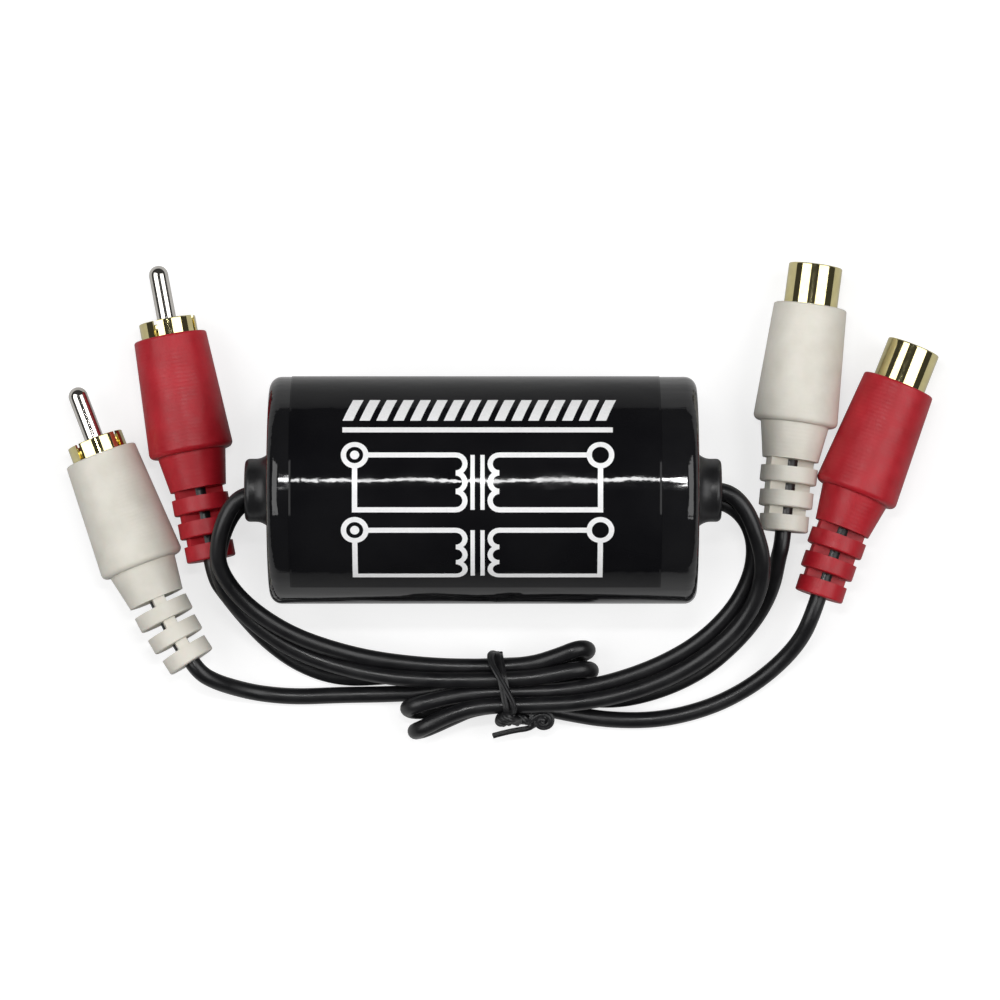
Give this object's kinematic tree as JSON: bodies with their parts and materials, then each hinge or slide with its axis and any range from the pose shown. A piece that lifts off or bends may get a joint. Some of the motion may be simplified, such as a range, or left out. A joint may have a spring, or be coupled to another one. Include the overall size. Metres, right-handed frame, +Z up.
{
  "type": "ground loop isolator",
  "caption": "Two-channel audio ground loop isolator: a cylindrical housing with phono plug cords at one end and phono socket cords at the other.",
  "frame": {"origin": "on the surface that the housing lies on, below the middle of the housing", "axes": "+X along the housing towards its socket cords, +Y away from the tied cords, +Z up"},
  "size_m": [0.1361, 0.0748, 0.0351],
  "materials": {
    "sleeve": "glossy shrunk PVC",
    "case": "satin moulded plastic",
    "label": "glossy laminated label",
    "board": "green solder mask",
    "solder": "satin solder",
    "core": "laminated silicon steel",
    "bobbin": "moulded nylon",
    "terminal": "tinned wire",
    "winding": "enamelled copper wire",
    "tape": "polyester tape",
    "cord": "satin PVC",
    "nylon": "natural nylon",
    "white_boot": "satin moulded PVC, off-white",
    "red_boot": "satin moulded PVC, red",
    "gold": "gold-coloured plating",
    "nickel": "nickel plating",
    "white_insulator": "moulded plastic, off-white",
    "red_insulator": "moulded plastic, red",
    "tie": "plastic-covered wire"
  },
  "bodies": {
    "root": {"case_lower": "case", "case_upper": "case", "shrink_sleeve": "sleeve", "face_label": "label", "circuit_board": "board", "solder_joints": "solder", "white_transformer_core": "core", "white_transformer_bobbin": "bobbin", "white_transformer_pins": "terminal", "white_primary_winding": "winding", "white_secondary_winding": "winding", "white_winding_tape": "tape", "red_transformer_core": "core", "red_transformer_bobbin": "bobbin", "red_transformer_pins": "terminal", "red_primary_winding": "winding", "red_secondary_winding": "winding", "red_winding_tape": "tape", "input_lead_white": "cord", "input_lead_red": "cord", "output_lead_white": "cord", "output_lead_red": "cord", "input_cable_tie": "nylon", "output_cable_tie": "nylon", "white_plug_pin": "nickel", "white_plug_ring": "gold", "white_plug_insulator": "white_insulator", "white_plug_boot": "white_boot", "white_plug_joint": "solder", "white_plug_cord_end": "cord", "red_plug_pin": "nickel", "red_plug_ring": "gold", "red_plug_insulator": "red_insulator", "red_plug_boot": "red_boot", "red_plug_joint": "solder", "red_plug_cord_end": "cord", "white_socket_contact": "nickel", "white_socket_barrel": "gold", "white_socket_insulator": "white_insulator", "white_socket_boot": "white_boot", "white_socket_joint": "solder", "white_socket_cord_end": "cord", "red_socket_contact": "nickel", "red_socket_barrel": "gold", "red_socket_insulator": "red_insulator", "red_socket_boot": "red_boot", "red_socket_joint": "solder", "red_socket_cord_end": "cord", "input_cord_red": "cord", "input_cord_white": "cord", "output_cord_white": "cord", "output_cord_red": "cord", "twist_tie": "tie"}
  },
  "joints": []
}
